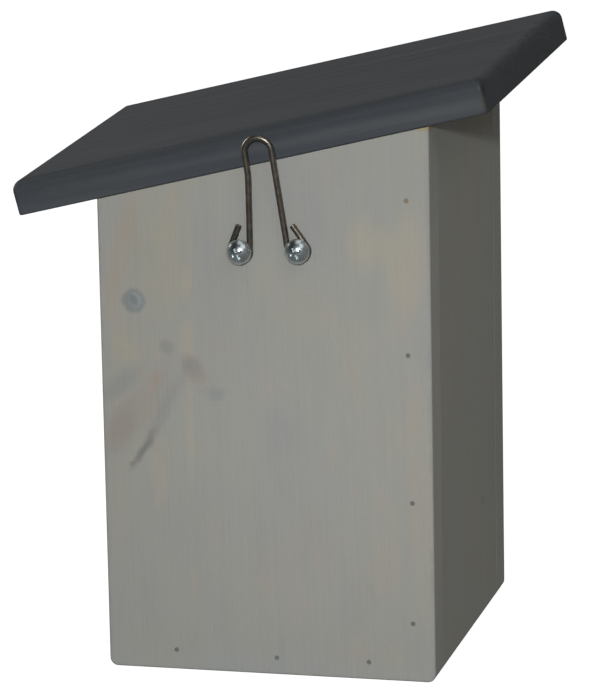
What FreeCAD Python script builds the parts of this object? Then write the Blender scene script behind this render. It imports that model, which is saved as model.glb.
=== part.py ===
import FreeCAD, Part
import math
import os

# A wooden nesting box for small garden birds, nailed together from six boards.
# Millimetres, +Z up. The origin is the centre of the box's underside, the entrance hole
# faces -Y and the hanger is on the back, towards +Y. The roof falls towards +X, where the
# short side wall is a cleaning door that swings out on two pins near its top edge and is
# kept shut by a turning hook. The front and back panels cover the edges of the side walls.

V = FreeCAD.Vector
ORIGIN = V(0, 0, 0)
X_AXIS = V(1, 0, 0)
Y_AXIS = V(0, 1, 0)
Z_AXIS = V(0, 0, 1)
TOUCH = 0.01               # an edge this near a face counts as on it
BORE_OVER = 1.0            # how far a cutting tool runs past a surface

# Box
WIDTH = 160.0              # over the side walls, along X
DEPTH = 165.0              # over the front and back panels, along Y
BOARD = 20.0               # thickness of every wall and of the floor
TALL_HEIGHT = 268.0        # from the underside to the roof, on the outer face of the tall side
ROOF_ANGLE = 13.76         # degrees
ARRIS = 1.2                # rounding of a panel's outer edges
SEAM_ARRIS = 0.4           # rounding where two boards meet in a seam
LOWER_CORNER = 4.0         # rounding of the box's lower edge along the tall side, and of
                           # the panels' lower corners

# Roof board
ROOF_THICKNESS = 16.4
EAVE_LOW = 39.6            # past the door side, along the slope
EAVE_HIGH = 29.4           # past the tall side, along the slope
EAVE_FRONT = 29.6          # past the front panel; the back edge is flush
ROOF_CORNER = 2.0          # rounding of the four upright corner edges
ROOF_TOP_ARRIS = 4.6
ROOF_BOTTOM_ARRIS = 1.0

# Entrance hole, and the saw cuts below it inside, which give young birds a grip
HOLE_RADIUS = 16.0
HOLE_HEIGHT = 175.0
HOLE_RIM = 1.0
GRIP_COUNT = 4
GRIP_PITCH = 14.0
GRIP_TOP = 146.0
GRIP_SIZE = (64.0, 2.0, 2.6)     # width, depth and height of one saw cut

# Floor drain holes
DRAIN_RADIUS = 3.0
DRAIN_X = 42.0
DRAIN_Y = 44.0

# Cleaning door, pins and turning hook
DOOR_SIDE_GAP = 0.7
DOOR_TOP_GAP = 3.0
DOOR_BOTTOM_GAP = 2.0
DOOR_GRIP = 6.0            # bevel along the bottom edge, for the fingers
DOOR_ROUND = 2.0
PIVOT_HEIGHT = 210.0
PIN_RADIUS = 2.0
PIN_REACH = 12.0           # into the door and into the panel
PIN_PLAY = 0.05            # radial, in the panel
PRESS_PLAY = 0.01          # radial, where a pin or screw is held fast
PIN_END_PLAY = 0.3
HOOK_HEIGHT = 42.0
HOOK_WIRE = 1.5            # radius
HOOK_BEND = 3.0
HOOK_DEPTH = 18.0
HOOK_ARM = 20.0
HOOK_STAND = 0.3
HOOK_PLAY = 0.06           # radial, in the panel
HOOK_END_PLAY = 1.0

# Nails: a thin shank with a small head, driven a little below the surface
NAIL_SHANK = 0.8           # radius
NAIL_HEAD = 1.15           # radius
NAIL_HEAD_HEIGHT = 0.7
NAIL_LENGTH = 40.0
NAIL_POINT = 2.4           # length of the taper
NAIL_TIP = 0.1             # radius
NAIL_SINK = 0.35
NAIL_PLAY = 0.02
BACK_WALL_NAILS = ((-69.0, 232.8), (-68.9, 159.1), (-70.0, 87.8), (-69.5, 28.8))
FRONT_WALL_NAILS = ((-70.0, 238.0), (-69.2, 164.0), (-70.3, 92.0), (-69.6, 31.0))
BACK_FLOOR_NAILS = ((46.5, 9.7), (-2.8, 8.4), (-47.8, 8.7))
FRONT_FLOOR_NAILS = ((45.0, 9.4), (1.5, 9.0), (-46.5, 9.8))
ROOF_NAIL_EDGE_X = (-42.0, 44.0)     # into the front and back panels
ROOF_NAIL_WALL_Y = (-38.0, 40.0)     # into the tall side wall
ROOF_NAIL_INSET = 12.4               # from the tall side's outer face

# Hanger: one bent wire, held flat under two dome-headed screws in the back panel.
# Its outline is drawn in the plane of the back, u to the right as seen from behind.
WIRE_RADIUS = 1.45
EYE_RADIUS = 4.9                     # of the wire's centre line round each screw
SCREW_LEFT = (-10.4, 206.7)
SCREW_RIGHT = (17.6, 207.9)
TAIL_LEFT = (-10.5, 219.2)
TAIL_RIGHT = (15.2, 220.2)
LEG_NIP = (-5.0, 243.5)              # where the left leg turns out to the arch
NIP_RADIUS = 40.0                    # of that bend
ARCH_CENTRE = (0.2, 255.5)
ARCH_RADIUS = 6.5
WIRE_LEAN = 4.6                      # degrees, the arch standing away from the wall
WIRE_STAND = 1.9                     # centre line to the wall, at the left screw
SCREW_SHANK = 2.5                    # radius
SCREW_SEAT = 3.95                    # underside of the head to the wall
SCREW_DEPTH = 16.0
SCREW_POINT = 4.0                    # length of the taper
SCREW_TIP = 0.3                      # radius
SCREW_HEAD = 6.0                     # radius
SCREW_RIM = 0.8                      # height of the head's upright edge
SCREW_DOME = 4.2                     # height of the head
RECESS_WIDTH = 1.3
RECESS_SPAN = 5.6
RECESS_DEPTH = 2.0
RECESS_TURN = 25.0                   # degrees

SLOPE = math.tan(math.radians(ROOF_ANGLE))
HALF_WIDTH = WIDTH / 2
HALF_DEPTH = DEPTH / 2
INNER_X = HALF_WIDTH - BOARD
INNER_Y = HALF_DEPTH - BOARD
PIVOT_X = HALF_WIDTH - BOARD / 2
ROOF_NORMAL = V(math.sin(math.radians(ROOF_ANGLE)), 0, math.cos(math.radians(ROOF_ANGLE)))


def under_roof(x):
    """Height of the roof's underside at x."""
    return TALL_HEIGHT - (x + HALF_WIDTH) * SLOPE


def rounded(shape, radius, test):
    """The shape with the edges whose middle passes the test rounded."""
    edges = [e for e in shape.Edges if test(e.CenterOfMass)]
    return shape.makeFillet(radius, edges)


def sloped_board(x0, x1, y0, y1, bottom=0.0, gap=0.0):
    """An upright board whose top edge follows the roof, a gap below it."""
    corners = [
        V(x0, y0, bottom),
        V(x1, y0, bottom),
        V(x1, y0, under_roof(x1) - gap),
        V(x0, y0, under_roof(x0) - gap),
    ]
    outline = Part.makePolygon(corners + corners[:1])
    return Part.Face(outline).extrude(V(0, y1 - y0, 0))


def rod(radius, start, end):
    """A round bar from start to end."""
    along = end - start
    return Part.makeCylinder(radius, along.Length, start, along)


# ---- nails --------------------------------------------------------------------------------

def nail(point, direction):
    """One nail, driven at a point of a surface in a direction."""
    direction = V(direction).normalize()
    top = point + direction * NAIL_SINK
    neck = top + direction * NAIL_HEAD_HEIGHT
    shoulder = top + direction * (NAIL_LENGTH - NAIL_POINT)
    head = Part.makeCylinder(NAIL_HEAD, NAIL_HEAD_HEIGHT, top, direction)
    shank = rod(NAIL_SHANK, neck, shoulder)
    tip = Part.makeCone(NAIL_SHANK, NAIL_TIP, NAIL_POINT, shoulder, direction)
    return head.fuse([shank, tip]).removeSplitter()


def nail_hole(point, direction):
    """The hole that a nail makes, open at the surface."""
    direction = V(direction).normalize()
    neck_depth = NAIL_SINK + NAIL_HEAD_HEIGHT
    length = NAIL_SINK + NAIL_LENGTH + NAIL_PLAY
    pocket = Part.makeCylinder(NAIL_HEAD + NAIL_PLAY, neck_depth, point, direction)
    bore = Part.makeCylinder(NAIL_SHANK + NAIL_PLAY, length, point, direction)
    return pocket.fuse(bore)


def panel_nails(places, side):
    """Points and directions of nails driven into the back (side 1) or front (side -1) panel."""
    return [(V(x, side * HALF_DEPTH, z), V(0, -side, 0)) for x, z in places]


def roof_nails():
    """Points on the roof's upper face, and directions, of the nails that hold it."""
    feet = [V(x, y, under_roof(x)) for x in ROOF_NAIL_EDGE_X
            for y in (HALF_DEPTH - BOARD / 2, BOARD / 2 - HALF_DEPTH)]
    wall_x = ROOF_NAIL_INSET - HALF_WIDTH
    feet += [V(wall_x, y, under_roof(wall_x)) for y in ROOF_NAIL_WALL_Y]
    return [(foot + ROOF_NORMAL * ROOF_THICKNESS, -ROOF_NORMAL) for foot in feet]


NAILS = {
    "back_wall_nails": panel_nails(BACK_WALL_NAILS, 1),
    "back_floor_nails": panel_nails(BACK_FLOOR_NAILS, 1),
    "front_wall_nails": panel_nails(FRONT_WALL_NAILS, -1),
    "front_floor_nails": panel_nails(FRONT_FLOOR_NAILS, -1),
    "roof_nails": roof_nails(),
}


def nailed(board, *groups):
    """The board with the holes of the nails that pass into it."""
    holes = [nail_hole(point, direction) for g in groups for point, direction in NAILS[g]]
    return board.cut(holes)


# ---- boards -------------------------------------------------------------------------------

def panel(side):
    """The plain front (side -1) or back (side 1) panel, its outer edges rounded."""
    outer = side * HALF_DEPTH
    inner = side * INNER_Y
    board = sloped_board(-HALF_WIDTH, HALF_WIDTH, min(outer, inner), max(outer, inner))

    def is_lower_corner(middle):
        return abs(middle.x) > HALF_WIDTH - TOUCH and middle.z < TOUCH

    def is_outer(middle):
        on_face = abs(middle.y - outer) < TOUCH
        return on_face and (abs(middle.x) > HALF_WIDTH - LOWER_CORNER or middle.z < LOWER_CORNER)

    def is_seam(middle):
        return abs(middle.y - inner) < TOUCH and abs(middle.x) > HALF_WIDTH - TOUCH

    board = rounded(board, LOWER_CORNER, is_lower_corner)
    board = rounded(board, ARRIS, is_outer)
    return rounded(board, SEAM_ARRIS, is_seam)


def pin_socket(side):
    """The blind hole in a panel that a door pin turns in."""
    start = V(PIVOT_X, side * (INNER_Y - BORE_OVER), PIVOT_HEIGHT)
    end = V(PIVOT_X, side * (pin_end() + PIN_END_PLAY), PIVOT_HEIGHT)
    return rod(PIN_RADIUS + PIN_PLAY, start, end)


def back_panel():
    board = panel(1).cut([pin_socket(1), screw_hole(SCREW_LEFT), screw_hole(SCREW_RIGHT)])
    return nailed(board, "back_wall_nails", "back_floor_nails", "roof_nails")


def front_panel():
    centre = V(0, -HALF_DEPTH - BORE_OVER, HOLE_HEIGHT)
    length = BOARD + 2 * BORE_OVER
    board = panel(-1).cut(Part.makeCylinder(HOLE_RADIUS, length, centre, Y_AXIS))

    def is_rim(middle):
        return abs(middle.x) < TOUCH and abs(middle.z - HOLE_HEIGHT) < TOUCH

    board = rounded(board, HOLE_RIM, is_rim)
    width, depth, height = GRIP_SIZE
    for row in range(GRIP_COUNT):
        corner = V(-width / 2, -INNER_Y - depth, GRIP_TOP - row * GRIP_PITCH)
        board = board.cut(Part.makeBox(width, depth + BORE_OVER, height, corner))
    hook_end = hook_root(HOOK_DEPTH + HOOK_END_PLAY)
    hook_hole = rod(HOOK_WIRE + HOOK_PLAY, hook_root(-BORE_OVER), hook_end)
    board = board.cut([pin_socket(-1), hook_hole])
    return nailed(board, "front_wall_nails", "front_floor_nails", "roof_nails")


def side_wall():
    board = sloped_board(-HALF_WIDTH, -INNER_X, -INNER_Y, INNER_Y)

    def is_lower_edge(middle):
        return middle.x < TOUCH - HALF_WIDTH and middle.z < TOUCH

    def is_seam(middle):
        return middle.x < TOUCH - HALF_WIDTH and abs(middle.y) > INNER_Y - TOUCH

    board = rounded(board, LOWER_CORNER, is_lower_edge)
    board = rounded(board, SEAM_ARRIS, is_seam)
    return nailed(board, "back_wall_nails", "front_wall_nails", "roof_nails")


def floor_board():
    corner = V(-INNER_X, -INNER_Y, 0)
    board = Part.makeBox(2 * INNER_X, 2 * INNER_Y, BOARD, corner)
    for x in (-DRAIN_X, DRAIN_X):
        for y in (-DRAIN_Y, DRAIN_Y):
            foot = V(x, y, -BORE_OVER)
            board = board.cut(Part.makeCylinder(DRAIN_RADIUS, BOARD + 2 * BORE_OVER, foot))
    return nailed(board, "back_floor_nails", "front_floor_nails")


def roof_board():
    """A flat board with rounded edges, made level and then tipped onto the walls."""
    low_end = WIDTH / math.cos(math.radians(ROOF_ANGLE)) + EAVE_LOW
    corner = V(-EAVE_HIGH, -HALF_DEPTH - EAVE_FRONT, 0)
    board = Part.makeBox(low_end + EAVE_HIGH, DEPTH + EAVE_FRONT, ROOF_THICKNESS, corner)

    def is_corner(middle):
        return abs(middle.z - ROOF_THICKNESS / 2) < TOUCH

    board = rounded(board, ROOF_CORNER, is_corner)
    board = rounded(board, ROOF_TOP_ARRIS, lambda middle: middle.z > ROOF_THICKNESS - TOUCH)
    board = rounded(board, ROOF_BOTTOM_ARRIS, lambda middle: middle.z < TOUCH)
    board.rotate(ORIGIN, Y_AXIS, ROOF_ANGLE)
    board.translate(V(-HALF_WIDTH, 0, TALL_HEIGHT))
    return nailed(board, "roof_nails")


# ---- cleaning door ------------------------------------------------------------------------

def pin_end():
    """Distance of a pin's outer end from the middle of the box, along Y."""
    return INNER_Y + PIN_REACH


def door_half():
    """Half the door's width along Y."""
    return INNER_Y - DOOR_SIDE_GAP


def cleaning_door():
    half = door_half()
    door = sloped_board(INNER_X, HALF_WIDTH, -half, half, DOOR_BOTTOM_GAP, DOOR_TOP_GAP)

    def is_bottom(middle):
        return middle.x > HALF_WIDTH - TOUCH and middle.z < DOOR_BOTTOM_GAP + TOUCH

    def is_top(middle):
        return middle.x > HALF_WIDTH - TOUCH and middle.z > PIVOT_HEIGHT

    door = door.makeChamfer(DOOR_GRIP, [e for e in door.Edges if is_bottom(e.CenterOfMass)])
    door = rounded(door, DOOR_ROUND, is_top)
    holes = []
    for side in (-1, 1):
        start = V(PIVOT_X, side * (half + BORE_OVER), PIVOT_HEIGHT)
        end = V(PIVOT_X, side * (half - PIN_REACH - PRESS_PLAY), PIVOT_HEIGHT)
        holes.append(rod(PIN_RADIUS + PRESS_PLAY, start, end))
    return door.cut(holes)


def door_pin(side):
    start = V(PIVOT_X, side * (door_half() - PIN_REACH), PIVOT_HEIGHT)
    end = V(PIVOT_X, side * pin_end(), PIVOT_HEIGHT)
    return rod(PIN_RADIUS, start, end)


def hook_root(depth):
    """A point on the hook's axis, at a depth inside the front panel's edge."""
    return V(HALF_WIDTH - depth, BOARD / 2 - HALF_DEPTH, HOOK_HEIGHT)


def latch_hook():
    """A square-bend hook, its arm hanging clear of the door."""
    tip = hook_root(HOOK_DEPTH)
    bend_start = hook_root(-HOOK_STAND)
    bend_centre = bend_start - Z_AXIS * HOOK_BEND
    bend_end = bend_centre + X_AXIS * HOOK_BEND
    middle = bend_centre + (X_AXIS + Z_AXIS) * (HOOK_BEND / math.sqrt(2))
    arm_end = bend_end - Z_AXIS * (HOOK_ARM - HOOK_BEND)
    edges = [
        Part.LineSegment(tip, bend_start).toShape(),
        Part.Arc(bend_start, middle, bend_end).toShape(),
        Part.LineSegment(bend_end, arm_end).toShape(),
    ]
    return swept(edges, tip, X_AXIS, HOOK_WIRE)


def swept(edges, start, direction, radius):
    """A round wire along joined edges, from start, where it points in a direction."""
    ring = Part.Wire([Part.makeCircle(radius, start, direction)])
    return Part.Wire(edges).makePipeShell([ring], True, True)


# ---- hanger -------------------------------------------------------------------------------

def on_back(place, off=0.0):
    """The point of the back at u, z, with u to the right as seen from behind, and off it."""
    u, z = place
    return V(-u, HALF_DEPTH + off, z)


def on_circle(centre, radius, angle):
    return (centre[0] + radius * math.cos(angle), centre[1] + radius * math.sin(angle))


def tangent_angle(centre, radius, point, side):
    """Angle on a circle where the line to a point touches it, on one side of the point."""
    across = point[0] - centre[0]
    up = point[1] - centre[1]
    return math.atan2(up, across) + side * math.acos(radius / math.hypot(across, up))


def crossing_angle(first, first_radius, second, second_radius, side):
    """Angle on the first circle of the line that crosses over to touch the second."""
    across = second[0] - first[0]
    up = second[1] - first[1]
    reach = (first_radius + second_radius) / math.hypot(across, up)
    return math.atan2(up, across) + side * math.acos(reach)


def arc_edge(centre, radius, start, end):
    """An arc on the back from one angle to another, through the angle half way."""
    points = [on_back(on_circle(centre, radius, a)) for a in (start, (start + end) / 2, end)]
    return Part.Arc(*points).toShape()


def line_edge(start, end):
    return Part.LineSegment(on_back(start), on_back(end)).toShape()


def bend_corner(start, corner, end, radius):
    """Edges from start to end, the corner between them taken by an arc."""
    before = V(corner[0] - start[0], corner[1] - start[1], 0)
    after = V(end[0] - corner[0], end[1] - corner[1], 0)
    turn = before.getAngle(after)
    trim = radius * math.tan(turn / 2)
    before.normalize()
    after.normalize()
    bend_in = (corner[0] - before.x * trim, corner[1] - before.y * trim)
    bend_out = (corner[0] + after.x * trim, corner[1] + after.y * trim)
    inward = (after - before).normalize()
    sag = radius / math.cos(turn / 2) - radius
    middle = (corner[0] + inward.x * sag, corner[1] + inward.y * sag)
    bend = Part.Arc(on_back(bend_in), on_back(middle), on_back(bend_out)).toShape()
    return [line_edge(start, bend_in), bend, line_edge(bend_out, end)]


def hanger_wire():
    """Tail, eye, leg, arch, leg, eye and tail, then leaned out from the wall."""
    turn = 2 * math.pi
    left_in = tangent_angle(SCREW_LEFT, EYE_RADIUS, TAIL_LEFT, 1)
    left_out = tangent_angle(SCREW_LEFT, EYE_RADIUS, LEG_NIP, -1) + turn
    arch_in = tangent_angle(ARCH_CENTRE, ARCH_RADIUS, LEG_NIP, -1) + turn
    arch_out = crossing_angle(ARCH_CENTRE, ARCH_RADIUS, SCREW_RIGHT, EYE_RADIUS, 1)
    right_in = arch_out + math.pi
    right_out = tangent_angle(SCREW_RIGHT, EYE_RADIUS, TAIL_RIGHT, -1) + turn
    stops = [
        on_circle(SCREW_LEFT, EYE_RADIUS, left_in),
        on_circle(SCREW_LEFT, EYE_RADIUS, left_out),
        on_circle(ARCH_CENTRE, ARCH_RADIUS, arch_in),
        on_circle(ARCH_CENTRE, ARCH_RADIUS, arch_out),
        on_circle(SCREW_RIGHT, EYE_RADIUS, right_in),
        on_circle(SCREW_RIGHT, EYE_RADIUS, right_out),
    ]
    leg = bend_corner(stops[1], LEG_NIP, stops[2], NIP_RADIUS)
    edges = [line_edge(TAIL_LEFT, stops[0]), arc_edge(SCREW_LEFT, EYE_RADIUS, left_in, left_out)]
    edges += leg
    edges.append(arc_edge(ARCH_CENTRE, ARCH_RADIUS, arch_in, arch_out))
    edges.append(line_edge(stops[3], stops[4]))
    edges.append(arc_edge(SCREW_RIGHT, EYE_RADIUS, right_in, right_out))
    edges.append(line_edge(stops[5], TAIL_RIGHT))
    start = on_back(TAIL_LEFT)
    wire = swept(edges, start, on_back(stops[0]) - start, WIRE_RADIUS)
    pivot = on_back(SCREW_LEFT)
    wire.rotate(pivot, X_AXIS, -WIRE_LEAN)
    wire.translate(Y_AXIS * WIRE_STAND)
    return wire


def screw_hole(place):
    """The hole that a hanger screw makes in the back panel."""
    end = on_back(place, -SCREW_DEPTH - PRESS_PLAY)
    return rod(SCREW_SHANK + PRESS_PLAY, on_back(place, BORE_OVER), end)


def hanger_screw(place):
    """A dome-headed screw with a cross recess, seated on the wire."""
    seat = on_back(place, SCREW_SEAT)
    rise = SCREW_DOME - SCREW_RIM
    dome_radius = (SCREW_HEAD ** 2 + rise ** 2) / (2 * rise)
    dome_centre = SCREW_DOME - dome_radius
    half_angle = math.asin(SCREW_HEAD / dome_radius) / 2
    across = dome_radius * math.sin(half_angle)
    on_dome = V(across, 0, dome_centre + dome_radius * math.cos(half_angle))
    foot = V(SCREW_HEAD, 0, 0)
    rim = V(SCREW_HEAD, 0, SCREW_RIM)
    crown = V(0, 0, SCREW_DOME)
    outline = [
        Part.LineSegment(ORIGIN, foot).toShape(),
        Part.LineSegment(foot, rim).toShape(),
        Part.Arc(rim, on_dome, crown).toShape(),
        Part.LineSegment(crown, ORIGIN).toShape(),
    ]
    head = Part.Face(Part.Wire(outline)).revolve(ORIGIN, Z_AXIS, 360)
    slot_corner = V(-RECESS_SPAN / 2, -RECESS_WIDTH / 2, SCREW_DOME - RECESS_DEPTH)
    for quarter in (0, 90):
        slot = Part.makeBox(RECESS_SPAN, RECESS_WIDTH, RECESS_DEPTH + BORE_OVER, slot_corner)
        slot.rotate(ORIGIN, Z_AXIS, quarter + RECESS_TURN)
        head = head.cut(slot)
    head.rotate(ORIGIN, X_AXIS, -90)
    head.translate(seat)
    shoulder = on_back(place, SCREW_POINT - SCREW_DEPTH)
    shank = rod(SCREW_SHANK, seat, shoulder)
    point = Part.makeCone(SCREW_SHANK, SCREW_TIP, SCREW_POINT, shoulder, -Y_AXIS)
    return head.fuse([shank, point]).removeSplitter()


# ---- all pieces ---------------------------------------------------------------------------

def pieces():
    parts = {
        "back_panel": back_panel(),
        "front_panel": front_panel(),
        "side_wall": side_wall(),
        "floor_board": floor_board(),
        "roof_board": roof_board(),
        "cleaning_door": cleaning_door(),
        "door_pin_back": door_pin(1),
        "door_pin_front": door_pin(-1),
        "latch_hook": latch_hook(),
        "hanger_wire": hanger_wire(),
        "hanger_screw_left": hanger_screw(SCREW_LEFT),
        "hanger_screw_right": hanger_screw(SCREW_RIGHT),
    }
    for name, places in NAILS.items():
        parts[name] = Part.makeCompound([nail(point, direction) for point, direction in places])
    return parts


os.makedirs("parts", exist_ok=True)
for name, shape in pieces().items():
    if not shape.isValid():
        raise ValueError(name + " is not a valid solid")
    shape.exportStep("parts/" + name + ".step")
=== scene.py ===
import math

import bpy
from mathutils import Matrix, Vector


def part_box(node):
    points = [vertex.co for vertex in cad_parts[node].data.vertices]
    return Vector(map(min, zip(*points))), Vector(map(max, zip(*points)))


# Looks of a wooden nesting box: grey-glazed boards, a slate-stained roof, steel hardware.
# Sizes are in metres, and in millimetres in the patterns of wood, metal and nails.

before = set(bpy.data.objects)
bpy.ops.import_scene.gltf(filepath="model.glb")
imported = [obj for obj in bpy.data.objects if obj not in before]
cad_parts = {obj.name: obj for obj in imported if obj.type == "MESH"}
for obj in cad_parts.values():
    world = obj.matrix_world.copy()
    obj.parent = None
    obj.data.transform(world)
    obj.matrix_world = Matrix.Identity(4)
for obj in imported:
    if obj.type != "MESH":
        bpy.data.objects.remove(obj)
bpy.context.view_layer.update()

MM = 0.001
UP = Vector((0, 0, 1))
ACROSS = Vector((1, 0, 0))
BACK = Vector((0, 1, 0))
ROOF_SLOPE = math.radians(13.76)       # as in the CAD
DOWN_ROOF = Vector((math.cos(ROOF_SLOPE), 0, -math.sin(ROOF_SLOPE)))
ROOF_NORMAL = Vector((math.sin(ROOF_SLOPE), 0, math.cos(ROOF_SLOPE)))


def reach(node, axis):
    """Lowest and highest place of a CAD node along an axis, in mm from the origin."""
    places = [vertex.co.dot(axis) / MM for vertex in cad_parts[node].data.vertices]
    return min(places), max(places)


def tall_back_corner():
    """The upper corner of the back panel on its tall side."""
    lowest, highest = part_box("back_panel")
    return Vector((lowest.x, highest.y, highest.z))


# ---- camera, lights and floor -------------------------------------------------------------

CAMERA_AIM = Vector((-0.0117, 0.0609, 0.1544))
CAMERA_DISTANCE = 2.334
CAMERA_TURN = 14.02      # degrees, as for direction()
CAMERA_RISE = 13.66
CAMERA_ROLL = -1.12      # degrees
CAMERA_LENS = 253.8      # mm, and so is the sensor's width
SENSOR = 36.0
CAMERA_NEAR = 0.05       # nothing nearer than this is rendered

MIDDLE = Vector((0, 0, 0.13))          # of the box, for the soft lights to point at
WARM_LIGHT = (1.0, 0.99, 0.97)
AMBIENT_COLOUR = (1.0, 0.975, 0.93)
AMBIENT_STRENGTH = 0.155
UNLIT = Vector((0.50, 0.60, 0.62))     # to the room's unlit part, above and left of the camera
UNLIT_STRENGTH = 0.02
UNLIT_BEGINS = 0.45                    # along UNLIT: where the ambient light begins to fall off
UNLIT_FULL = 0.9                       # and from where there is only UNLIT_STRENGTH
BACKDROP_STRENGTH = 0.99

FLOOR_HALF = 6.0
FLOOR_DROP = 0.0002      # keeps the floor clear of the box's underside
FLOOR_GLOW = 0.90


def direction(turn, rise):
    """Unit vector to a place behind the box. The turn, in degrees, is from straight behind it
    towards its tall side, and the rise, in degrees, from level."""
    turn, rise = math.radians(turn), math.radians(rise)
    flat = math.cos(rise)
    return Vector((-math.sin(turn) * flat, math.cos(turn) * flat, math.sin(rise)))


def looking(location, aim, roll=0.0):
    """Matrix of a camera or light at a location that points at aim, rolled by some degrees."""
    back = (location - aim).normalized()
    right = UP.cross(back).normalized()
    up = back.cross(right)
    cos, sin = math.cos(math.radians(roll)), math.sin(math.radians(roll))
    matrix = Matrix((right * cos + up * sin, up * cos - right * sin, back)).transposed().to_4x4()
    matrix.translation = location
    return matrix


def make_camera():
    data = bpy.data.cameras.new("camera")
    data.sensor_width = SENSOR
    data.lens = CAMERA_LENS
    data.clip_start = CAMERA_NEAR
    camera = bpy.data.objects.new("camera", data)
    bpy.context.scene.collection.objects.link(camera)
    location = CAMERA_AIM + CAMERA_DISTANCE * direction(CAMERA_TURN, CAMERA_RISE)
    camera.matrix_world = looking(location, CAMERA_AIM, CAMERA_ROLL)
    bpy.context.scene.camera = camera


def area_light(name, aim, turn, rise, distance, size, power, colour=(1, 1, 1)):
    """A square soft light that shines on aim from an angle as for direction()."""
    data = bpy.data.lights.new(name, "AREA")
    data.size = size
    data.energy = power
    data.color = colour
    light = bpy.data.objects.new(name, data)
    bpy.context.scene.collection.objects.link(light)
    light.matrix_world = looking(aim + distance * direction(turn, rise), aim)


def make_lights():
    """The main light beside the camera, soft ones above it, and two for the unseen sides."""
    area_light("key", tall_back_corner(), turn=9.7, rise=15.8, distance=2.6, size=0.10,
               power=39.5, colour=(0.99, 1.0, 1.01))
    area_light("soft_key", MIDDLE, turn=42, rise=44, distance=2.0, size=0.9, power=2.3)
    area_light("overhead", MIDDLE, turn=10, rise=76, distance=1.6, size=0.9, power=1.6)
    area_light("door_fill", MIDDLE, turn=-104, rise=20, distance=2.2, size=1.0, power=17,
               colour=WARM_LIGHT)
    area_light("front_fill", MIDDLE, turn=-168, rise=-13, distance=2.4, size=0.8, power=22,
               colour=WARM_LIGHT)


def make_world():
    """A dim even light all round, and a pale backdrop where the camera sees past the floor."""
    world = bpy.data.worlds.new("world")
    bpy.context.scene.world = world
    world.use_nodes = True
    n = Nodes(world.node_tree)
    ambient = world.node_tree.nodes["Background"]
    ambient.inputs["Color"].default_value = (*AMBIENT_COLOUR, 1)
    heading = n.add("ShaderNodeTexCoord").outputs["Generated"]
    strength = n.add("ShaderNodeMapRange", {
        "Value": n.vector("DOT_PRODUCT", heading, UNLIT),
        "From Min": UNLIT_BEGINS,
        "From Max": UNLIT_FULL,
        "To Min": AMBIENT_STRENGTH,
        "To Max": UNLIT_STRENGTH,
    })
    n.tree.links.new(strength.outputs[0], ambient.inputs["Strength"])
    backdrop = n.add("ShaderNodeBackground",
                     {"Color": (1, 1, 1, 1), "Strength": BACKDROP_STRENGTH})
    seen = n.add("ShaderNodeLightPath").outputs["Is Camera Ray"]
    both = n.add("ShaderNodeMixShader", {0: seen, 1: ambient.outputs[0], 2: backdrop.outputs[0]})
    output = world.node_tree.nodes["World Output"]
    n.tree.links.new(both.outputs[0], output.inputs["Surface"])


def floor_material():
    """A pale matt surface that glows a little, so that it stays even."""
    material, n, shader = new_material("floor")
    shader.inputs["Base Color"].default_value = (0.5, 0.5, 0.5, 1)
    shader.inputs["Roughness"].default_value = 0.9
    shader.inputs["Specular IOR Level"].default_value = 0.0
    shader.inputs["Emission Color"].default_value = (1, 1, 1, 1)
    shader.inputs["Emission Strength"].default_value = FLOOR_GLOW
    return material


def make_floor():
    """A large pale floor that neither lights nor shades the object, nor is mirrored in it."""
    mesh = bpy.data.meshes.new("floor")
    signs = ((-1, -1), (1, -1), (1, 1), (-1, 1))
    corners = [(x * FLOOR_HALF, y * FLOOR_HALF, 0) for x, y in signs]
    mesh.from_pydata(corners, [], [(0, 1, 2, 3)])
    mesh.materials.append(floor_material())
    floor = bpy.data.objects.new("floor", mesh)
    bpy.context.scene.collection.objects.link(floor)
    floor.location.z = -FLOOR_DROP
    floor.visible_diffuse = False
    floor.visible_glossy = False
    floor.visible_shadow = False


# ---- node helpers -------------------------------------------------------------------------

NOISE_SPAN = (0.3, 0.7)  # nearly all values of a noise lie in it


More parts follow.
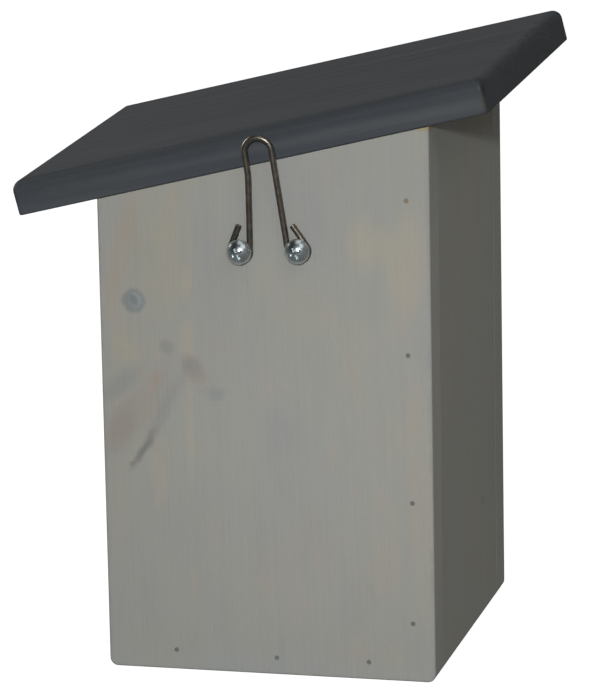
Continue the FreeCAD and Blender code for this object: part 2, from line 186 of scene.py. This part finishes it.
class Nodes:
    """Adds nodes to the tree of a material or the world. Values may be sockets."""

    def __init__(self, tree):
        self.tree = tree

    def add(self, kind, inputs=None, **settings):
        node = self.tree.nodes.new(kind)
        for name, value in settings.items():
            setattr(node, name, value)
        for key, value in (inputs or {}).items():
            self.put(value, node.inputs[key])
        return node

    def put(self, value, socket):
        """Sets a socket to a value, or links it to another socket."""
        if isinstance(value, bpy.types.NodeSocket):
            self.tree.links.new(value, socket)
        else:
            socket.default_value = value

    def math(self, operation, a, b=0.0):
        return self.add("ShaderNodeMath", {0: a, 1: b}, operation=operation).outputs[0]

    def vector(self, operation, a, b):
        node = self.add("ShaderNodeVectorMath", {0: a, 1: b}, operation=operation)
        scalar = operation == "DOT_PRODUCT"
        return node.outputs["Value" if scalar else "Vector"]

    def scaled(self, a, factor):
        node = self.add("ShaderNodeVectorMath", {0: a, "Scale": factor}, operation="SCALE")
        return node.outputs["Vector"]

    def length(self, a):
        return self.add("ShaderNodeVectorMath", {0: a}, operation="LENGTH").outputs["Value"]

    def combine(self, x, y, z):
        return self.add("ShaderNodeCombineXYZ", {0: x, 1: y, 2: z}).outputs[0]

    def noise(self, place, scale, detail=2.0, roughness=0.5):
        """Smooth noise about 0.5."""
        inputs = {"Vector": place, "Scale": scale, "Detail": detail, "Roughness": roughness}
        return self.add("ShaderNodeTexNoise", inputs).outputs[0]

    def wander(self, place, scale, amount):
        """The place moved about smoothly by up to about half of amount each way."""
        inputs = {"Vector": place, "Scale": scale, "Detail": 2.0}
        colour = self.add("ShaderNodeTexNoise", inputs).outputs["Color"]
        centred = self.vector("SUBTRACT", colour, (0.5, 0.5, 0.5))
        return self.vector("ADD", place, self.scaled(centred, amount))

    def smooth(self, value, low, high):
        """0 at low, 1 at high, smooth between; low may be the larger."""
        inputs = {"Value": value, "From Min": low, "From Max": high}
        node = self.add("ShaderNodeMapRange", inputs, interpolation_type="SMOOTHSTEP")
        return node.outputs[0]

    def mixed(self, factor, a, b, blend="MIX"):
        """Colour a where the factor is 0, b where it is 1. A colour has three numbers."""
        node = self.add("ShaderNodeMix", {0: factor}, data_type="RGBA", blend_type=blend)
        for colour, socket in ((a, node.inputs[6]), (b, node.inputs[7])):
            if not isinstance(colour, bpy.types.NodeSocket):
                colour = (*colour, 1)
            self.put(colour, socket)
        return node.outputs[2]

    def tinted(self, colour, factor, tint):
        """The colour multiplied by a tint where the factor is 1."""
        return self.mixed(factor, colour, tint, "MULTIPLY")

    def touched(self, colour, noise, tints):
        """The colour with tints that each begin at one value of a noise and are full at
        another."""
        for begins, full, tint in tints:
            colour = self.tinted(colour, self.smooth(noise, begins, full), tint)
        return colour


def new_material(name):
    material = bpy.data.materials.new(name)
    material.use_nodes = True
    tree = material.node_tree
    return material, Nodes(tree), tree.nodes["Principled BSDF"]


def object_place(n):
    return n.add("ShaderNodeTexCoord").outputs["Object"]


def facing(n, axis):
    """1 where the surface looks along an axis, either way, and 0 where it is square to it."""
    normal = n.add("ShaderNodeTexCoord").outputs["Normal"]
    return n.math("ABSOLUTE", n.vector("DOT_PRODUCT", normal, axis))


def bump(n, shader, height, depth_mm):
    inputs = {"Height": height, "Strength": 1.0, "Distance": depth_mm * MM}
    n.put(n.add("ShaderNodeBump", inputs).outputs[0], shader.inputs["Normal"])


def rough_by(n, shader, noise, low, high):
    """A roughness that follows a noise, from low to high."""
    from_min, from_max = NOISE_SPAN
    node = n.add("ShaderNodeMapRange", {"Value": noise, "From Min": from_min,
                                        "From Max": from_max, "To Min": low, "To Max": high})
    n.put(node.outputs[0], shader.inputs["Roughness"])


# ---- how a board was cut ------------------------------------------------------------------

class Board:
    """How a board was cut from the tree, and the marks on it.

    u runs over the board's width, v through its thickness and w along its grain, in mm from
    the frame's origin. The pith is given by its u and v where w is 0, and how much they change
    over 1 mm of w. A ring is as wide as spacing. A butted board's long edges meet others."""

    def __init__(self, node, width, thickness, along, pith, spacing, marks=(), butted=False):
        self.node = node
        self.width = width
        self.thickness = thickness
        self.along = along
        self.pith = pith
        self.spacing = spacing
        self.sides = reach(node, width)
        self.marks = marks
        self.butted = butted


class Mark:
    """A knot or stain: a soft ellipse on the board's face at u and w, its colour a share of
    the glaze's. The long half-size lies at an angle from the width towards the grain."""

    def __init__(self, u, w, long, short, angle, tint, soft=0.6):
        self.centre = (u, w)
        self.size = (long, short)
        self.angle = math.radians(angle)
        self.tint = tint
        self.soft = soft


def knot(u, w, size, angle):
    """A knot under the glaze: a brownish halo, a grey ring, pale wood and a dark heart."""
    return (
        Mark(u, w, 1.6 * size, 1.2 * size, angle, (0.96, 0.90, 0.85), 0.4),
        Mark(u, w, size, 0.8 * size, angle, (0.80, 0.80, 0.82), 0.2),
        Mark(u, w, 0.66 * size, 0.5 * size, angle, (1.19, 1.16, 1.12), 0.3),
        Mark(u, w, 0.36 * size, 0.24 * size, angle, (0.74, 0.74, 0.76), 0.4),
    )


OCHRE = (1.10, 1.04, 0.97)
PIN_RING = (0.70, 0.76, 0.85)
VIOLET = (0.975, 0.968, 0.995)
PINKISH = (1.035, 0.995, 0.965)

BACK_MARKS = (
    # broad lighter areas, and warm spots and streaks
    Mark(-45, 128, 120, 85, 90, (1.11, 1.10, 1.10), 0.9),
    Mark(-78, 140, 110, 34, 90, (1.035, 1.03, 1.02), 0.9),
    Mark(6, 88, 72, 56, 90, (1.04, 1.035, 1.022), 0.6),
    Mark(-50, 212, 12, 10, 90, (1.10, 1.05, 0.965), 0.5),
    Mark(-69, 204, 22, 10, 95, (1.105, 1.05, 0.965), 0.5),
    Mark(-73, 90, 40, 6, 90, (1.03, 1.0, 0.97)),
    Mark(46, 204, 24, 10, 95, (1.045, 1.01, 0.94), 0.7),
    Mark(68, 208, 24, 4.6, 104, (1.05, 0.96, 0.905)),
    Mark(61.0, 206, 16, 2.4, 90, (1.02, 0.99, 0.93)),
    Mark(37.7, 190, 7, 2.4, 90, OCHRE),
    Mark(37.7, 163, 9, 3.2, 90, OCHRE),
    Mark(37.2, 116, 24, 1.8, 90, (1.08, 1.05, 1.00)),
    Mark(37.0, 52, 34, 1.3, 90, PINKISH),
    Mark(52.5, 92, 14, 3.0, 86, (1.05, 1.01, 0.965)),
    Mark(68, 157, 8, 5, 60, (1.05, 1.02, 0.95)),
    # faint cool and pink clouds
    Mark(-9, 116, 12, 7, 120, VIOLET, 0.8),
    Mark(-2, 126, 8, 6, 60, VIOLET, 0.8),
    Mark(24, 184, 30, 8, 80, VIOLET, 0.8),
    Mark(-39, 37, 14, 5, 90, VIOLET),
    Mark(-1, 52, 13, 7, 100, PINKISH),
    Mark(-23, 66, 16, 5, 85, PINKISH),
    Mark(-56, 54, 13, 7, 95, PINKISH),
    # round ringed pin knot
    Mark(63.5, 180.4, 6.0, 5.8, 90, PIN_RING, 0.22),
    Mark(62.6, 180.8, 3.7, 3.4, 90, (1.17, 1.18, 1.17), 0.35),
    Mark(63.8, 180.6, 2.6, 2.0, 60, (0.74, 0.78, 0.83), 0.4),
    # small grey knot with a pale ring
    Mark(48.5, 158.5, 7.0, 5.6, 90, (1.01, 0.985, 0.965), 0.4),
    Mark(47.4, 158.7, 3.4, 3.0, 70, (0.86, 0.88, 0.915), 0.6),
    # brown knot with a grey heart
    Mark(34.4, 148.4, 8.6, 5.0, 56, (0.985, 0.905, 0.875), 0.35),
    Mark(35.4, 150.0, 5.6, 3.4, 56, (0.880, 0.925, 0.965), 0.45),
    Mark(23.6, 137.0, 4.0, 2.8, 160, (0.88, 0.90, 0.94)),
    Mark(29.0, 138.6, 5.0, 1.3, 160, (0.95, 0.955, 0.97)),
    # the branch scar slanting down from them
    Mark(71.5, 139.5, 13, 4.2, 140, (0.87, 0.90, 0.93), 0.7),
    Mark(62, 128, 26, 8.2, 128, (0.965, 0.930, 0.935), 0.5),
    Mark(52.5, 143.2, 4.6, 3.0, 128, (1.04, 0.955, 0.91)),
    Mark(71.5, 118.0, 12, 6, 110, (0.945, 0.905, 0.92)),
    Mark(50.5, 126.0, 20, 2.8, 118, (0.90, 0.905, 0.925), 0.7),
    Mark(60.4, 108.0, 9.5, 1.5, 122, (0.68, 0.69, 0.72), 0.75),
    Mark(66.0, 101.0, 1.6, 1.0, 122, (0.93, 0.86, 0.80)),
    # a cool line along the lower edge, and bare wood at the upper corner of the tall side
    Mark(0, 1, 90, 8, 0, (1.0, 1.015, 1.05)),
    Mark(-78.5, 267.0, 4.2, 1.5, 166, (1.02, 0.88, 0.62), 0.3),
)
FRONT_MARKS = (
    *knot(-38, 92, 4.4, 80),
    *knot(52, 214, 5.4, 70),
    Mark(-12, 120, 60, 9, 88, (1.04, 1.0, 0.95), 0.8),
)
SIDE_MARKS = (
    # painted shade under the eave: it deepens the roof's shadow on the side wall
    Mark(-12, 263, 78, 16, 14, (0.86, 0.825, 0.785), 0.35),
    Mark(10, 130, 120, 30, 90, (1.02, 1.01, 0.99), 0.9),
    Mark(-30, 60, 2.2, 1.8, 90, (0.84, 0.83, 0.82), 0.4),
)
DOOR_MARKS = (
    *knot(24, 138, 5.2, 85),
    *knot(-30, 70, 3.4, 100),
)

BOARDS = (
    Board("back_panel", ACROSS, BACK, UP, (-210, 150, 0.02, -0.05), 3.4, BACK_MARKS),
    Board("front_panel", ACROSS, BACK, UP, (-30, -210, 0.1, 0.3), 4.6, FRONT_MARKS),
    Board("side_wall", BACK, ACROSS, UP, (140, -190, 0.03, 0.1), 3.8, SIDE_MARKS, butted=True),
    Board("cleaning_door", BACK, ACROSS, UP, (-22, 190, -0.1, 0.3), 4.2, DOOR_MARKS),
    Board("floor_board", BACK, UP, ACROSS, (20, -70, 0.05, 0.1), 4.8),
    Board("roof_board", BACK, ROOF_NORMAL, DOWN_ROOF, (-50, 189, 0.02, 0.01), 3.7),
)


# ---- wood patterns ------------------------------------------------------------------------

class Layer:
    """Uneven colour in a finish: noise of a scale per mm across the grain, drawn out along it,
    and its tints, as for Nodes.touched."""

    def __init__(self, scale, drawn_out, detail, *tints):
        self.noise = (scale, drawn_out, detail)
        self.tints = tints


GLAZE = (0.385, 0.390, 0.362)
GLAZE_LAYERS = (
    # broad patches, cool and warm
    Layer(0.020, 0.60, 2.0,
          (0.50, 0.66, (0.970, 0.975, 1.0)), (0.48, 0.34, (1.025, 1.005, 0.975))),
    # long streaks along the grain
    Layer(0.42, 0.008, 3.0,
          (0.54, 0.68, (1.020, 0.999, 0.982)), (0.46, 0.32, (0.988, 0.990, 0.995))),
    # mottling
    Layer(0.10, 0.30, 3.0,
          (0.54, 0.68, (1.03, 0.995, 0.975)), (0.46, 0.32, (0.975, 0.980, 0.985))),
)
GLAZED_LATE = (0.991, 0.988, 0.984)          # late wood on a board's faces
GLAZED_LATE_END = (0.84, 0.82, 0.79)         # and where it is cut across
GLAZED_END = (0.90, 0.885, 0.86)
GLAZED_FIBRE = (0.54, 0.76, (0.955, 0.955, 0.955))
GLAZED_SPECKLE = (0.48, 0.72, (0.965, 0.965, 0.965))
SPECKLE_SCALE = 1.1
GLAZE_ROUGHNESS = (0.68, 0.86)
GLAZE_SPECULAR = 0.12
GLAZE_RELIEF = (0.4, 0.05)                   # as for relief()
FACE_FACING = (0.25, 0.6)    # facing() on a board's edges, and from where it counts as a face
EDGE_WIDTH = 2.2         # of the darker line along a board's long edges
EDGE_TINT = (0.90, 0.92, 0.95)
SEAM_WIDTH = 0.8         # of the dark line where a board butts on others
SEAM_TINT = (0.62, 0.60, 0.58)

STAIN = (0.072, 0.083, 0.096)
STAIN_LAYERS = (
    # broad patches of thinner stain
    Layer(0.022, 0.35, 2.0, (0.42, 0.65, (1.10, 1.07, 1.02))),
    # long streaks along the grain
    Layer(0.30, 0.012, 3.0,
          (0.52, 0.68, (1.15, 1.11, 1.05)), (0.46, 0.32, (0.90, 0.91, 0.93))),
)
STAINED_LATE = (0.78, 0.79, 0.80)
STAINED_END = (0.78, 0.78, 0.79)
STAINED_FIBRE = (0.56, 0.74, (0.84, 0.84, 0.84))
STAINED_ARRIS = (0.72, 0.71, 0.70)
# a brown rim and painted shade on the roof's high back corner
CORNER_BROWN_AND_SHADE = (0.66, 0.58, 0.50)
STAIN_ROUGHNESS = (0.45, 0.62)
END_ROUGHER = 0.3        # how much end grain adds to the noise that sets the roughness
STAIN_SPECULAR = 0.30
STAIN_RELIEF = (0.6, 0.08)

ROOF_TOP = reach("roof_board", ROOF_NORMAL)[1]
ROOF_BACK = reach("roof_board", BACK)[1]
ROOF_HIGH_END = reach("roof_board", DOWN_ROOF)[0]

RING_DRIFT = 0.1         # how fast the rings' bends change along the grain, against across it
RING_BEND = (0.015, 14.0)    # scale per mm of the rings' wide bends, and how far they reach
RING_RIPPLE = (0.09, 1.2)    # the same of their small ones
YEAR_SCALE = 0.35        # per ring, of the change from wide rings to narrow ones
YEAR_SPREAD = 3.2        # in rings
LATE_WOOD = (0.35, 0.88)     # shares of a ring's width: it darkens from one to the other
RING_END = (0.92, 1.0)       # and turns pale again from one to the other
FIBRE = (1.3, 0.025, 4.0)    # scale, how far drawn out, and detail, as for grain()
GRAIN_ROUGHNESS = 0.55       # of the noise
FRAY_WIDE = (0.10, 4.0)      # scale per mm of a mark's uneven outline, and its reach
FRAY_FINE = (0.55, 1.0)
END_FACING = (0.55, 0.90)    # facing() on a board's faces, and from where it counts as an end


def wood_place(n, place, board):
    """Coordinates (u, v, w) in mm of a place in metres."""
    axes = (board.width, board.thickness, board.along)
    return n.combine(*(n.vector("DOT_PRODUCT", place, axis / MM) for axis in axes))


def along(n, wood, index):
    """u, v or w of a place in the wood."""
    return n.vector("DOT_PRODUCT", wood, [1.0 if i == index else 0.0 for i in range(3)])


def ring_phase(n, wood, board):
    """Growth rings round the wandering pith: 0 where a ring starts, 1 where it ends."""
    slow = n.vector("MULTIPLY", wood, (1.0, 1.0, RING_DRIFT))
    moved = n.wander(n.wander(slow, *RING_BEND), *RING_RIPPLE)
    u, v, u_lean, v_lean = board.pith
    w = along(n, wood, 2)
    lean = n.combine(n.math("MULTIPLY", w, u_lean), n.math("MULTIPLY", w, v_lean), 0.0)
    from_pith = n.vector("SUBTRACT", n.vector("SUBTRACT", moved, (u, v, 0)), lean)
    radius = n.length(n.vector("MULTIPLY", from_pith, (1, 1, 0)))
    count = n.math("DIVIDE", radius, board.spacing)
    years = n.add("ShaderNodeTexNoise", {"W": count, "Scale": YEAR_SCALE, "Detail": 2.0},
                  noise_dimensions="1D").outputs[0]
    return n.math("FRACT", n.math("ADD", count, n.math("MULTIPLY", years, YEAR_SPREAD)))


def late_wood(n, wood, board):
    """1 in the dark, hard end of each ring."""
    phase = ring_phase(n, wood, board)
    rising = n.smooth(phase, *LATE_WOOD)
    falling = n.smooth(phase, *reversed(RING_END))
    return n.math("MULTIPLY", rising, falling)


def grain(n, wood, scale, drawn_out, detail):
    """Noise drawn out along the grain; scale is per mm across it."""
    stretched = n.vector("MULTIPLY", wood, (1.0, 1.0, drawn_out))
    return n.noise(stretched, scale, detail, GRAIN_ROUGHNESS)


def frayed(n, wood):
    """Places moved a little, which makes the outline of a mark uneven."""
    return n.wander(n.wander(wood, *FRAY_WIDE), *FRAY_FINE)


def layered(n, wood, colour, layers):
    """The colour with the tints of all layers."""
    for layer in layers:
        colour = n.touched(colour, grain(n, wood, *layer.noise), layer.tints)
    return colour


def mark_cover(n, wood, mark):
    """1 inside a mark, 0 outside it."""
    away = n.vector("SUBTRACT", wood, (mark.centre[0], 0, mark.centre[1]))
    cos, sin = math.cos(mark.angle), math.sin(mark.angle)
    long, short = mark.size
    first = n.vector("DOT_PRODUCT", away, (cos / long, 0, sin / long))
    second = n.vector("DOT_PRODUCT", away, (-sin / short, 0, cos / short))
    distance = n.length(n.combine(first, second, 0.0))
    return n.smooth(distance, 1 + mark.soft, max(0.0, 1 - mark.soft))


def edge_cover(n, wood, board, width):
    """1 at the long edges of the board's faces; 0 further in than a width, and on its sides."""
    low, high = board.sides
    from_middle = n.math("ABSOLUTE", n.math("SUBTRACT", along(n, wood, 0), (low + high) / 2))
    half = (high - low) / 2
    near = n.smooth(from_middle, half - width, half)
    return n.math("MULTIPLY", near, n.smooth(facing(n, board.thickness), *FACE_FACING))


def end_grain(n, board):
    """1 where the board is cut across its grain."""
    return n.smooth(facing(n, board.along), *END_FACING)


def roof_arris(n, wood):
    """1 where the stain lies thickest, along the roof's rounded upper back edge. It fades out
    over some mm down from the top and in from the back."""
    near_top = n.smooth(along(n, wood, 1), ROOF_TOP - 11.0, ROOF_TOP - 2.0)
    near_back = n.smooth(along(n, wood, 0), ROOF_BACK - 16.0, ROOF_BACK - 3.0)
    return n.math("MULTIPLY", near_top, near_back)


def roof_corner(n, wood):
    """1 on the upright edge at the roof's high back corner, where a brown rim and painted shade
    go: the shade keeps the rounded corner from catching a highlight.
    """
    near_end = n.smooth(along(n, wood, 2), ROOF_HIGH_END + 2.2, ROOF_HIGH_END + 1.0)
    near_back = n.smooth(along(n, wood, 0), ROOF_BACK - 2.4, ROOF_BACK - 1.0)
    return n.math("MULTIPLY", near_end, near_back)


# ---- finished wood ------------------------------------------------------------------------

def relief(n, shader, fibre, late, late_share, depth_mm):
    """Bumps of a depth in mm from the fibres, and of a share of it from the late wood."""
    bump(n, shader, n.math("ADD", n.math("MULTIPLY", late, late_share), fibre), depth_mm)


def glazed_wood(board):
    """Softwood under a thin matt light-grey glaze, with the wood faintly warm under it."""
    material, n, shader = new_material("wood_" + board.node)
    wood = wood_place(n, object_place(n), board)
    late = late_wood(n, wood, board)
    fibre = grain(n, wood, *FIBRE)
    ends = end_grain(n, board)
    colour = layered(n, wood, GLAZE, GLAZE_LAYERS)
    colour = n.tinted(colour, late, n.mixed(ends, GLAZED_LATE, GLAZED_LATE_END))
    colour = n.tinted(colour, ends, GLAZED_END)
    colour = n.touched(colour, fibre, [GLAZED_FIBRE])
    colour = n.touched(colour, n.noise(wood, SPECKLE_SCALE), [GLAZED_SPECKLE])
    uneven = frayed(n, wood)
    for mark in board.marks:
        colour = n.tinted(colour, mark_cover(n, uneven, mark), mark.tint)
    colour = n.tinted(colour, edge_cover(n, uneven, board, EDGE_WIDTH), EDGE_TINT)
    if board.butted:
        colour = n.tinted(colour, edge_cover(n, wood, board, SEAM_WIDTH), SEAM_TINT)
    n.put(colour, shader.inputs["Base Color"])
    rough_by(n, shader, fibre, *GLAZE_ROUGHNESS)
    shader.inputs["Specular IOR Level"].default_value = GLAZE_SPECULAR
    relief(n, shader, fibre, late, *GLAZE_RELIEF)
    return material


def stained_wood(board):
    """The same wood under a dark slate stain with a slight sheen, for the roof."""
    material, n, shader = new_material("wood_" + board.node)
    wood = wood_place(n, object_place(n), board)
    late = late_wood(n, wood, board)
    fibre = grain(n, wood, *FIBRE)
    ends = end_grain(n, board)
    colour = layered(n, wood, STAIN, STAIN_LAYERS)
    colour = n.tinted(colour, late, STAINED_LATE)
    colour = n.tinted(colour, ends, STAINED_END)
    colour = n.touched(colour, fibre, [STAINED_FIBRE])
    uneven = frayed(n, wood)
    colour = n.tinted(colour, roof_arris(n, uneven), STAINED_ARRIS)
    # brown rim and painted shade at the high back corner, in place of a highlight on its
    # rounding
    colour = n.tinted(colour, roof_corner(n, uneven), CORNER_BROWN_AND_SHADE)
    n.put(colour, shader.inputs["Base Color"])
    rough = n.math("ADD", fibre, n.math("MULTIPLY", ends, END_ROUGHER))
    rough_by(n, shader, rough, *STAIN_ROUGHNESS)
    shader.inputs["Specular IOR Level"].default_value = STAIN_SPECULAR
    relief(n, shader, fibre, late, *STAIN_RELIEF)
    return material


# ---- metal --------------------------------------------------------------------------------

DULL_PATCH_SCALE = 0.35  # per mm, of the noise
SCRATCH_SCALE = 3.5
NAIL_SCALE = 1.6
NAIL_GLAZE = (0.225, 0.228, 0.215)           # the finish looks darker on a nail head
NAIL_STAIN = (0.050, 0.057, 0.066)
NAIL_UNEVEN = (0.40, 0.65, (0.80, 0.80, 0.80))
RUST_UNDER_GLAZE = (0.30, 0.245, 0.170)
RUST_ABOVE = 220.0       # only the nails higher up than this show rust
RUST_BLEND = 5.0
NAIL_ROUGHNESS = (0.5, 0.7)
NAIL_SPECULAR = 0.25
NAIL_RELIEF = 0.02       # mm


def metal(name, bright, dull, roughness, scratch):
    """Steel with fine uneven tone: its colour where it is bright and in dull patches, the
    span of its roughness, and the depth of its scratches in mm."""
    material, n, shader = new_material(name)
    place = n.scaled(object_place(n), 1 / MM)
    tone = n.noise(place, DULL_PATCH_SCALE, 3.0)
    fine = n.noise(place, SCRATCH_SCALE, 3.0, 0.6)
    colour = n.mixed(n.smooth(tone, 0.35, 0.7), dull, bright)
    n.put(colour, shader.inputs["Base Color"])
    shader.inputs["Metallic"].default_value = 1.0
    rough_by(n, shader, fine, *roughness)
    bump(n, shader, fine, scratch)
    return material


def covered_nail(name, cover, rust_above=None):
    """A nail head under the boards' finish; any above a height in mm shows rust through it."""
    material, n, shader = new_material(name)
    place = n.scaled(object_place(n), 1 / MM)
    fine = n.noise(place, NAIL_SCALE, 3.0, 0.6)
    colour = n.touched(cover, fine, [NAIL_UNEVEN])
    if rust_above:
        height = n.vector("DOT_PRODUCT", place, UP)
        rusty = n.smooth(height, rust_above - RUST_BLEND, rust_above + RUST_BLEND)
        colour = n.mixed(rusty, colour, RUST_UNDER_GLAZE)
    n.put(colour, shader.inputs["Base Color"])
    rough_by(n, shader, fine, *NAIL_ROUGHNESS)
    shader.inputs["Specular IOR Level"].default_value = NAIL_SPECULAR
    bump(n, shader, fine, NAIL_RELIEF)
    return material


# ---- materials on the nodes ---------------------------------------------------------------

ZINC_NODES = ("hanger_screw_left", "hanger_screw_right", "door_pin_back", "door_pin_front",
              "latch_hook")
GLAZED_NAIL_NODES = ("back_wall_nails", "back_floor_nails", "front_wall_nails",
                     "front_floor_nails")


def finish(nodes, material):
    """Gives some CAD nodes a material."""
    for node in nodes:
        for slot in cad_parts[node].material_slots:
            slot.material = material


def finish_hardware():
    zinc = metal("zinc", bright=(0.70, 0.78, 0.81), dull=(0.56, 0.63, 0.66),
                 roughness=(0.23, 0.30), scratch=0.001)
    wire_steel = metal("wire_steel", bright=(0.26, 0.235, 0.20), dull=(0.18, 0.165, 0.14),
                       roughness=(0.32, 0.42), scratch=0.006)
    finish(ZINC_NODES, zinc)
    finish(["hanger_wire"], wire_steel)
    finish(GLAZED_NAIL_NODES, covered_nail("glazed_nail", NAIL_GLAZE, RUST_ABOVE))
    finish(["roof_nails"], covered_nail("stained_nail", NAIL_STAIN))


def finish_boards():
    for board in BOARDS:
        make = stained_wood if board.node == "roof_board" else glazed_wood
        finish([board.node], make(board))


make_camera()
make_world()
make_floor()
make_lights()
finish_hardware()
finish_boards()
bpy.context.scene.view_settings.view_transform = "Standard"
